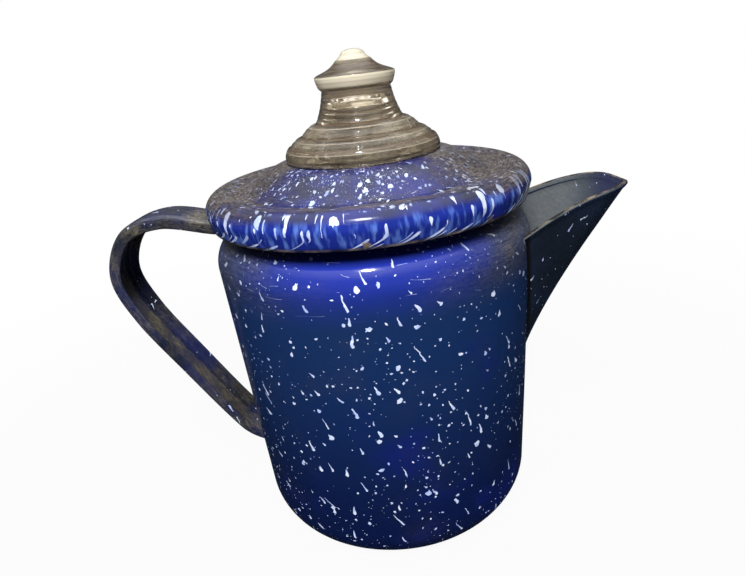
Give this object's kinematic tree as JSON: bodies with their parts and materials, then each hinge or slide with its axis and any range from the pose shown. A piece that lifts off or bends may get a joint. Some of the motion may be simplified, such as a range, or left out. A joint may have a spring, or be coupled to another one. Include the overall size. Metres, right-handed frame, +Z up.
{
  "type": "coffee percolator",
  "caption": "Round enamelled steel coffee pot with a beak spout, strap handle, lift-off lid and glass knob, holding a stem pump and a perforated grounds basket.",
  "frame": {"origin": "centre of the flat underside of the pot", "axes": "+Z up along the pot's axis, +X towards the spout, -X towards the handle"},
  "size_m": [0.2161, 0.128, 0.194],
  "materials": {
    "pot_enamel": "glossy cobalt vitreous enamel with white speckles",
    "lid_enamel": "glossy cobalt vitreous enamel with white speckles, worn brown at the edge",
    "handle_enamel": "dark navy enamel, grimy in the channel",
    "knob_glass": "clear pressed glass, smoky with age",
    "aluminium": "spun satin",
    "valve_metal": "plain stamped disc"
  },
  "bodies": {
    "pot": {"pot_body": "pot_enamel", "spout": "pot_enamel", "handle": "handle_enamel"},
    "lid": {"lid_shell": "lid_enamel", "lid_ring": "aluminium"},
    "knob": {"glass_knob": "knob_glass"},
    "pump": {"pump_tube": "aluminium", "pump_bell": "aluminium", "valve_seat": "aluminium"},
    "valve": {"valve_disc": "valve_metal"},
    "basket": {"basket_cup": "aluminium", "basket_sleeve": "aluminium"},
    "spreader": {"basket_lid": "aluminium"}
  },
  "joints": [
    {"name": "lid_lift", "type": "slide", "parent": "pot", "child": "lid", "axis": [0, 0, 1], "range_m": [0, 0.3]},
    {"name": "knob_turn", "type": "hinge", "parent": "lid", "child": "knob", "pos_m": [0, 0, 0.1555], "axis": [0, 0, 1], "range_deg": [0, 90]},
    {"name": "pump_lift", "type": "slide", "parent": "pot", "child": "pump", "axis": [0, 0, 1], "range_m": [0, 0.15]},
    {"name": "valve_float", "type": "slide", "parent": "pump", "child": "valve", "axis": [0, 0, 1], "range_m": [0, 0.0018]},
    {"name": "basket_lift", "type": "slide", "parent": "pump", "child": "basket", "axis": [0, 0, 1], "range_m": [0, 0.087]},
    {"name": "spreader_lift", "type": "slide", "parent": "basket", "child": "spreader", "axis": [0, 0, 1], "range_m": [0, 0.018]}
  ],
  "couplings": [
    {"joint": "pump_lift", "follows": "lid_lift", "ratio": 0.5},
    {"joint": "basket_lift", "follows": "lid_lift", "ratio": 0.29},
    {"joint": "spreader_lift", "follows": "lid_lift", "ratio": 0.06}
  ]
}
